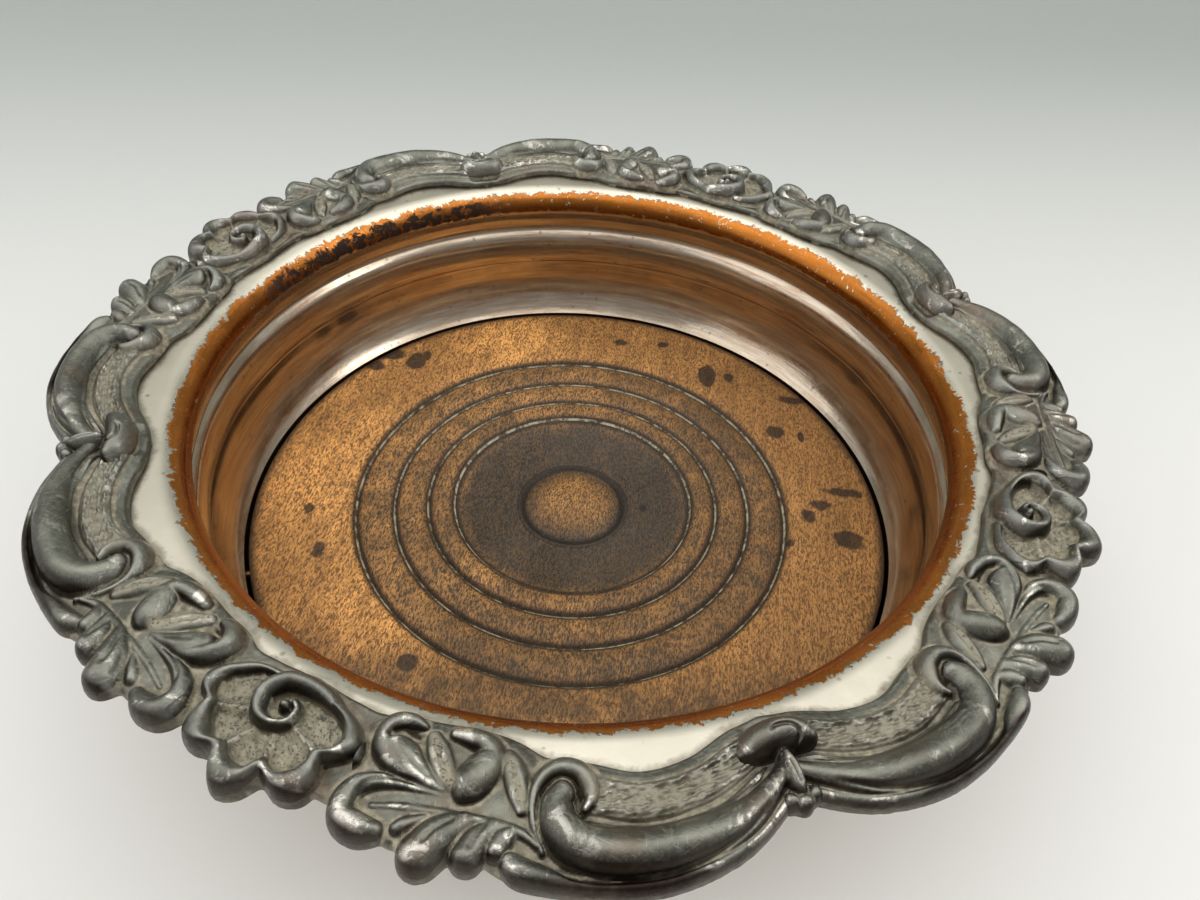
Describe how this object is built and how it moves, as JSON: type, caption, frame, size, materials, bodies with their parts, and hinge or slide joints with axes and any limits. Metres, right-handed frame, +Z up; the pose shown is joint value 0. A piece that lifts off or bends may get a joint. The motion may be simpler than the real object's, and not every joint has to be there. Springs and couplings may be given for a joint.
{
  "type": "wine bottle coaster",
  "caption": "Round wine bottle coaster: a turned wooden floor in a swelling plated wall, with a wide flange under a relief border of shells, leaves and scrolls.",
  "frame": {"origin": "on the table, under the centre of the cup", "axes": "+Z up along the axis of the cup; +X lies 22.5 degrees before the first knot of the border"},
  "size_m": [0.1732, 0.1732, 0.0485],
  "materials": {
    "plated_copper": "polished silver plate, worn through to orange copper on the rolled lip",
    "silver_wire": "dull silver plate",
    "tarnished_silver": "tarnished grey silver with khaki dirt in the hollows and rubbed bright spots",
    "turned_wood": "old waxed beech, turned, dark in the grooves and hollow",
    "green_baize": "napped wool cloth",
    "brass_pins": "dull brass"
  },
  "bodies": {
    "root": {"gallery_wall": "plated_copper", "foot_wire": "silver_wire", "wooden_base": "turned_wood", "baize_pad": "green_baize", "base_pins": "brass_pins", "knot_mount_1": "tarnished_silver", "knot_mount_2": "tarnished_silver", "knot_mount_3": "tarnished_silver", "knot_mount_4": "tarnished_silver", "scroll_mount_1_left": "tarnished_silver", "scroll_mount_1_right": "tarnished_silver", "scroll_mount_2_left": "tarnished_silver", "scroll_mount_2_right": "tarnished_silver", "scroll_mount_3_left": "tarnished_silver", "scroll_mount_3_right": "tarnished_silver", "scroll_mount_4_left": "tarnished_silver", "scroll_mount_4_right": "tarnished_silver", "leaf_mount_1_left": "tarnished_silver", "leaf_mount_1_right": "tarnished_silver", "leaf_mount_2_left": "tarnished_silver", "leaf_mount_2_right": "tarnished_silver", "leaf_mount_3_left": "tarnished_silver", "leaf_mount_3_right": "tarnished_silver", "leaf_mount_4_left": "tarnished_silver", "leaf_mount_4_right": "tarnished_silver", "shell_mount_1": "tarnished_silver", "shell_mount_2": "tarnished_silver", "shell_mount_3": "tarnished_silver", "shell_mount_4": "tarnished_silver"}
  },
  "joints": []
}
